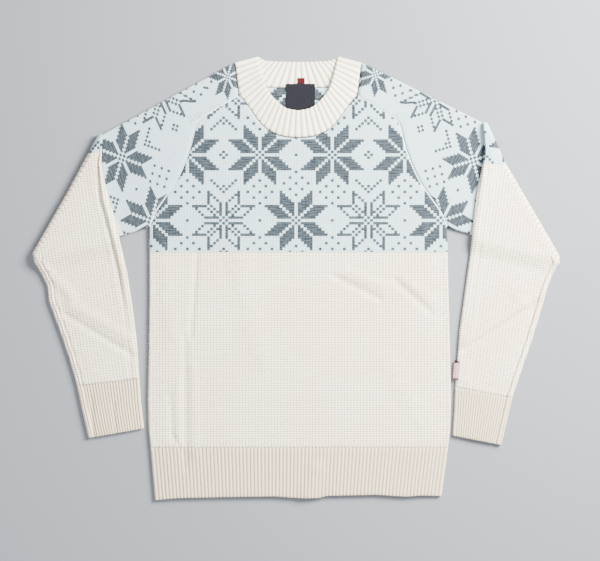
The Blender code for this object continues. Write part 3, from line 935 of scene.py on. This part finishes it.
# %% Edges of a forearm
# Along the inner edge the knit rolls up with a groove beside it, and along the outer edge runs the underarm
# seam, a raised strip with a groove on either side. Rows are distance from the edge and height.
ROLL = (
    (HALF, 0.6), (5.4, 1.8), (7.6, 2.2), (9.4, 1.2),
    (11.0, -1.8), (12.8, -2.8), (15.4, -1.6), (20.0, 0.0),
)
ROLL_SHARE = {RIGHT: 1.2, LEFT: 0.35}  # how strongly each sleeve shows it
STRIP_SHARE = {RIGHT: 1.0, LEFT: 1.6}
ROLL_FADE = (190.0, 110.0)  # from where down the roll weakens, and over which run
PUFF = {RIGHT: 0.8, LEFT: 3.0}  # how much a sleeve stands up beside its fold
PUFF_DOWN, PUFF_ACROSS = (60.0, 100.0), (8.0, 24.0)  # start and run of its fading, either way
FOLD_BULGE = 0.9 * (TUBE + FOLD_BORE)  # how far the round of a fold stands out
STRIP = (
    (13.0, 0.0), (10.6, -0.9), (9.2, -2.2), (8.2, 0.4),
    (7.0, 1.4), (5.8, 0.9), (4.8, -0.6), (HALF, 0.5),
)
PLAIN_ROLL, PLAIN_STRIP = 23.0, 15.0  # no pits so near the inner and the outer edge
TAB_Y, TAB_LUMP = -145.1, 1.4  # the cloth stands up over the sewn-in end of the tab
TAB_DOWN, TAB_ACROSS = (14.0, 6.0), (14.0, 10.0)
FULL_WIDTH = 70.0  # where the forearm is narrower, roll and strip are squeezed
EDGE_TURNS = 8
LOWER_COLUMNS = 14


def fading(value, start, run):
    """1 up to the start, and down to 0 over the run."""
    return 1.0 - ease((value - start) / run)


# %% Forearm
def forearm(side, name):
    top = FOLD[side][0]
    down = (-side * WALE_LEAN, -sqrt(1.0 - WALE_LEAN**2))
    out = (-side * down[1], side * down[0])

    def local(x, y):
        x, y = x - top[0], y - top[1]
        return x * down[0] + y * down[1], x * out[0] + y * out[1]

    inner = [local(*top)] + [local(row[0], row[1]) for row in FOREARM[side]]
    outer = [local(*point) for point in FOLD[side]] + [local(row[2], row[3]) for row in FOREARM[side]]
    corner = local(*FOLD[side][-1])[0]
    ends = inner[-1][0] - JOIN, outer[-1][0] - JOIN
    first_wale = int(min(point[1] for point in inner) // half_cell[0])
    last_wale = ceil(max(point[1] for point in outer) / half_cell[0])
    rows = 2 * round(max(ends) / CELL[1])
    columns = [("inner edge", -90.0 + 180.0 * i / EDGE_TURNS) for i in range(EDGE_TURNS)]
    columns += [("roll", spot) for spot in ROLL]
    columns += [("wale", wale) for wale in range(first_wale, last_wale + 1)]
    columns += [("strip", spot) for spot in STRIP]
    columns += [("outer edge", 90.0 - 180.0 * i / EDGE_TURNS) for i in range(1, EDGE_TURNS)]
    columns += [("lower", 1.0 - i / LOWER_COLUMNS) for i in range(LOWER_COLUMNS)]
    creases = SLEEVE_CREASES[side]

    def place(column, row):
        v = max(ends) * row / rows
        kind, value = columns[column % len(columns)]
        near, far = read(inner, v), read(outer, v)
        width = far - near
        radius = min(HALF, width / 2)
        shrink = min(1.0, width / FULL_WIDTH)
        below_fold = ease((v - corner) / 18.0)
        turn = 90.0 if kind in ("roll", "wale", "strip") else -90.0
        relief, wale = 0.0, 0
        if kind == "inner edge":
            turn = value
            u = near + radius * (1.0 - cos(radians(turn)))
        elif kind == "roll":
            u, relief = near + value[0] * shrink, value[1] * ROLL_SHARE[side] * ease(v / 60.0)
            relief *= 0.15 + 0.85 * fading(v, *ROLL_FADE)
        elif kind == "wale":
            wale = value
            u = min(max(wale * half_cell[0], near + ROLL[-1][0] * shrink), far - STRIP[0][0] * shrink)
            if near + PLAIN_ROLL < u < far - PLAIN_STRIP:
                relief = -pressed(wale, row)
        elif kind == "strip":
            u, relief = far - value[0] * shrink, value[1] * below_fold * STRIP_SHARE[side]
        elif kind == "outer edge":
            turn = value
            u = far - radius * (1.0 - cos(radians(turn)))
        else:
            u = near + radius + (width - 2 * radius) * value
        end = ends[0] + (ends[1] - ends[0]) * (u - inner[-1][1]) / (outer[-1][1] - inner[-1][1])
        v *= (end / max(ends)) ** ease(row / rows)
        x = top[0] + down[0] * v + out[0] * u
        y = top[1] + down[1] * v + out[1] * u
        base = base_height(x, y, side)
        z = base + HALF + HALF * sin(radians(turn))
        if turn == 90.0:
            if side == LEFT:
                z += TAB_LUMP * fading(abs(y - TAB_Y), *TAB_DOWN) * fading(u - near, *TAB_ACROSS)
            z += PUFF[side] * ease(v / 16.0) * fading(v, *PUFF_DOWN) * fading(u - near, *PUFF_ACROSS)
            z += relief + lofted(x, y, min(u - near, far - u), SLEEVE_LOFT, creases) + dip(end - v, *RIB_DIP)
            z = max(z, base + WALL + 0.2)
        elif kind == "outer edge" and below_fold < 1.0:
            folded = (base + TUBE) / 2 * (1.0 + sin(radians(turn)))
            z = folded + (z - folded) * below_fold
            x += side * cos(radians(turn)) * FOLD_BULGE * (1.0 - below_fold)
        return (x, y, z), unfolded(x, y, side), (wale / 2 if wale else u / CELL[0], row / 2)

    piece = knitted(name, len(columns), rows, place, flip=side == LEFT)
    walled(piece)
    return piece


for side, word in SIDES:
    piece = forearm(side, f"forearm_{word}")
    dressed(piece, sleeve_knit, "sleeve_knit", f"sleeve_{word}")
    sleeve_pieces[word].append(piece)

# %% [markdown]
# ## Raglan seams
# Where a sleeve is linked to the body, the loops of both knits stand up in a thin ridge, lighter than the
# pattern. Each is a thin rope of yarn laid along the seam line, in the gap that the two knits leave for it.

# %% Seam ridges
def raglan_welt(side, name):
    line = [(side * x, y) for x, y in smooth(RAGLAN_FRONT, 60)]
    marks = positions(line)
    turns, rows = 8, 130

    def place(column, row):
        along = marks[-1] * (0.004 + 0.992 * row / rows)
        x, y = at(line, along, marks)
        ahead = at(line, along + 1.0, marks)
        run = dist((x, y), ahead)
        across = ((ahead[1] - y) / run, (x - ahead[0]) / run)
        angle = tau * column / turns
        swell = WELT * (1.0 + 0.06 * sin(row * 2.1))
        if row in (0, rows):
            swell = 0.0
        x += across[0] * swell * cos(angle)
        y += across[1] * swell * cos(angle)
        return (x, y, TUBE - 0.75 + swell * sin(angle)), (column / turns, along / 3.0), (0.0, 0.0)

    return knitted(name, turns, rows, place, flip=True)


for side, word in SIDES:
    dressed(raglan_welt(side, f"raglan_seam_{word}"), seam_yarn, "sleeve_knit")

# %% [markdown]
# ## Ribs
# Neck, hem and cuffs are knitted in ribs, which draw the cloth in. A rib band is made as a ring with an outer
# and an inner face that join over a rounded edge, and its ribs are real ridges all the way over that edge.

# %% Rib profile
RIB_DEPTH = 1.3
RIB_STEPS = 6  # columns in one rib
BAND_ROUND = 4  # rows in the round of a free edge


def rib_height(count):
    """0 on a rib's crest, down to -1 in the valley beside it."""
    off = abs((count + 0.5) % 1.0 - 0.5) * 2.0
    return -(off**2.6)


def band_row(row, rows):
    """A band's row as (share from seam to edge, share from outer to inner face); it ends where it began."""
    total = 2 * rows + BAND_ROUND
    row %= total
    if row <= rows:
        return row / rows, 0.0
    row -= rows
    if row < BAND_ROUND:
        return 1.0, row / BAND_ROUND
    return 1.0 - (row - BAND_ROUND) / rows, 1.0


def band_radius(inward, thickness):
    """Distance from the middle plane, and how far the rounded edge stands out beyond the band's end."""
    radius = HALF - thickness * (0.5 - 0.5 * cos(pi * inward))
    return radius, thickness / 2 * sin(pi * inward)


def band(name, steps, rows, section, material, node, flip=False):
    """A rib band, whose section(spot, share, inward) gives a point, its rib count and its course."""
    def place(column, row):
        point, count, course = section(ring_spot(column % sum(steps), steps), *band_row(row, rows))
        return point, (count, course), (count, course)

    piece = knitted(name, sum(steps), 2 * rows + BAND_ROUND, place, flip)
    return dressed(piece, material, "rib_knit", node)


# %% Hem
HEM_RIBS = 80
THIN = LAYER - 0.4  # hem and cuffs are single, and a little thinner
COURSE = 3.3  # mm a course of the hem and the cuffs
seam_ends = [(read(BODY_SIDE, HEM_SEAM_Y, side), HEM_SEAM_Y - JOIN) for side in (1, 2)]
low_ends = [HEM_EDGE[0], HEM_EDGE[-1]]


def hem_section(spot, share, inward):
    layer, across, angle = spot
    radius, beyond = band_radius(inward, THIN)
    line = [mix(a, b, share) for a, b in zip(seam_ends, low_ends)]
    whole = dist(*line)
    distance = ring_distance(whole, *spot, radius)
    x, y = mix(*line, distance / whole)
    straight = mix(*low_ends, (x - low_ends[0][0]) / (low_ends[1][0] - low_ends[0][0]))
    y += share * (read(HEM_EDGE, x) - straight[1]) - beyond
    z = HALF + radius * sin(radians(angle))
    count = across * HEM_RIBS
    if layer == "upper":
        edge = min(distance, whole - distance)
        z += lofted(x, y, edge, BODY_LOFT, BODY_CREASES) + dip(HEM_SEAM_Y - y, *RIB_DIP)
        z += RIB_DEPTH * rib_height(count) * (1.0 - inward)
    return (x, y, z), count, y / COURSE


hem_steps = (8, HEM_RIBS * RIB_STEPS, 8, HEM_RIBS)
hem = band("hem_cloth", hem_steps, 18, hem_section, rib_knit, "hem_rib", flip=True)

# %% Cuffs
CUFF_RIBS = 20
CUFF_DEPTH = 80.0
STRIP_RIB = CUFF_RIBS - 3.0  # under the seam strip all the cloth is coloured as this rib's crest is


def cuff_section_of(side):
    sections = FOREARM[side][-1], *CUFF[side]

    def section(spot, share, inward):
        layer, across, angle = spot
        radius, beyond = band_radius(inward, THIN)
        run = min(int(share * 2), 1)
        line = mix(sections[run], sections[run + 1], share * 2 - run)
        inner, outer = line[:2], line[2:]
        whole = dist(inner, outer)
        distance = ring_distance(whole, *spot, radius)
        x, y = mix(inner, outer, distance / whole)
        y -= beyond + JOIN
        z = HALF + radius * sin(radians(angle))
        count = across * CUFF_RIBS
        if layer == "upper":
            past = whole - distance
            plain = fading(past, 10.0, 3.0)
            ribs = RIB_DEPTH * rib_height(count) * (1.0 - plain) + 0.8 * STRIP_SHARE[side] * read(STRIP, past)
            z += lofted(x, y, min(distance, past), SLEEVE_LOFT, SLEEVE_CREASES[side])
            z += ribs * (1.0 - inward) + dip(share * CUFF_DEPTH, *RIB_DIP)
            if plain > 0.5:
                count = STRIP_RIB
        return (x, y, z), count, y / COURSE

    return section


cuff_steps = (8, CUFF_RIBS * RIB_STEPS, 8, CUFF_RIBS * 2)
for side, word in SIDES:
    node, section = f"cuff_{word}", cuff_section_of(side)
    band(node + "_cloth", cuff_steps, 18, section, rib_knit, node, flip=side == LEFT)

# %% [markdown]
# The neck rib is sewn to the front and sleeves over the upper layer and to the back below it, so its seam and
# its free edge are each a pair of lines that meet at the shoulders. In the back its inner face shows.

# %% Neck
NECK_RIBS_FRONT, NECK_RIBS_BACK = 32, 18
COLLAR_LIFT, COLLAR_RISE = 3.0, 0.2  # how far its edge stands up, and the share of its length that it takes
NECK_COURSE = 3.6


def across_both(half):
    """A line over both halves from one side's half of it, and how far along it each point is."""
    line = [(-x, y) for x, y in half] + list(half[-2::-1])
    return line, positions(line)


# seam and free edge, in the upper and in the lower layer
NECK_LINES = {
    "upper": (
        across_both([SHOULDER] + smooth(NECK_SIDE_FRONT, 6)[:-1] + smooth(NECK_FRONT, 30)),
        across_both(smooth(COLLAR_EDGE_FRONT, 30)),
    ),
    "lower": (
        across_both([SHOULDER] + smooth(NECK_SIDE_BACK, 6)[:-1] + smooth(NECK_BACK, 16)),
        across_both(smooth(COLLAR_EDGE_BACK, 16)),
    ),
}


def neck_section(spot, share, inward):
    layer, across, angle = spot
    radius, beyond = band_radius(inward, LAYER)
    lines = NECK_LINES["lower" if angle < 0.0 else "upper"]
    ends = [at(line, ring_distance(marks[-1], *spot, radius), marks) for line, marks in lines]
    reach = dist(*ends)
    x, y = mix(*ends, share + beyond / reach)
    z = HALF + radius * sin(radians(angle))
    if layer == "upper":
        count = across * NECK_RIBS_FRONT
        near = ease(min(across, 1.0 - across) / COLLAR_RISE)
        z += near * (BODY_LOFT + COLLAR_LIFT * share) + dip(share * reach, 0.9, 3.5)
        z += RIB_DEPTH * rib_height(count) * (1.0 - inward)
    else:
        count = across * NECK_RIBS_BACK
        z += RIB_DEPTH * rib_height(count) * inward if layer == "lower" else 0.0
    return (x, y, z), count, share * reach / NECK_COURSE


neck_steps = (8, NECK_RIBS_FRONT * RIB_STEPS, 8, NECK_RIBS_BACK * RIB_STEPS)
neck = band("neck_cloth", neck_steps, 14, neck_section, collar_knit, "neck_rib")

# %% [markdown]
# ## Labels
# The neck label is a dark woven rectangle with a red hanger loop above it, and a pale folded tab is caught in
# the sleeve seam, dark red at both of its ends.

# %% Label materials
THREADS = 2200.0


def woven(name, colour, other):
    """A close weave of thin threads in two near colours."""
    made, tree, shader = fibre(name, roughness=0.8, sheen=0.0)
    weave = tree.nodes.new("ShaderNodeTexChecker")
    fill(weave, Scale=THREADS, Color1=(*colour, 1.0), Color2=(*other, 1.0))
    tree.links.new(place_of(tree), weave.inputs["Vector"])
    tree.links.new(weave.outputs["Color"], shader.inputs["Base Color"])
    bumped(shader, Sum(tree, weave.outputs["Fac"]), 0.1)
    return made, tree, shader, weave.outputs["Color"]


label_weave = woven("Dark woven label", (0.003, 0.003, 0.006), (0.005, 0.005, 0.010))[0]
loop_weave = woven("Red woven loop", (0.04, 0.0002, 0.0012), (0.06, 0.0004, 0.002))[0]
tab_weave, tree, shader, pale = woven("Pale woven tab", (0.5, 0.28, 0.31), (0.58, 0.36, 0.39))
_, y = parts_of(tree, place_of(tree))
TAB_PALE = 11.8 * MM  # half the pale stretch; past it the tab is dark red
coloured(shader, abs(y - TAB_Y * MM) > TAB_PALE, pale, (0.05, 0.003, 0.008))
for node, material in (("neck_label", label_weave), ("neck_loop", loop_weave), ("sleeve_tab", tab_weave)):
    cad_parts[node].data.materials.clear()
    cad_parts[node].data.materials.append(material)

# %% [markdown]

# %% [markdown]
# ## Floor, light and camera
# The floor is plain and pale. The camera looks straight down, as the photo does, from 3 m with a long lens,
# so that the frame takes in 930 mm. The main lamp stands low at the upper right, as the shadows in
# the photo say, so ribs and folds show; a wide lamp over the lower left and a dim pale sky fill the shadows.

# %% Floor
bpy.ops.mesh.primitive_plane_add(size=12.0, location=(0.0, 0.0, -0.0002))
floor = bpy.context.object
floor.name = "floor"
floor_paint = bpy.data.materials.new("Pale floor")
floor_paint.use_nodes = True
fill(floor_paint.node_tree.nodes["Principled BSDF"], Roughness=0.85, Base_Color=(0.17, 0.182, 0.2, 1.0))
floor.data.materials.append(floor_paint)

# %% Camera
CAMERA_HEIGHT, SWEATER_TOP = 3.0, 0.008
FRAME_WIDTH = 0.93
camera_data = bpy.data.cameras.new("Camera")
camera = bpy.data.objects.new("Camera", camera_data)
bpy.context.scene.collection.objects.link(camera)
camera.location = (0.0031, -0.0054, CAMERA_HEIGHT)
camera_data.sensor_width = 36.0
camera_data.lens = 36.0 * (CAMERA_HEIGHT - SWEATER_TOP) / FRAME_WIDTH
bpy.context.scene.camera = camera


# %% Lights
def soft_lamp(name, place, size, power, colour):
    data = bpy.data.lights.new(name, "AREA")
    data.size = size
    data.energy = power
    data.color = colour
    lamp = bpy.data.objects.new(name, data)
    lamp.location = place
    lamp.rotation_euler = (-Vector(place)).to_track_quat("-Z", "Y").to_euler()
    bpy.context.scene.collection.objects.link(lamp)


soft_lamp("Key", (1.15, 0.75, 1.1), 0.8, 258.0, (1.0, 0.985, 0.955))
soft_lamp("Fill", (-0.7, -0.9, 2.3), 1.8, 70.0, (0.97, 0.985, 1.0))
world = bpy.data.worlds.new("Studio")
world.use_nodes = True
fill(world.node_tree.nodes["Background"], Color=(0.93, 0.96, 1.0, 1.0), Strength=0.5)
bpy.context.scene.world = world
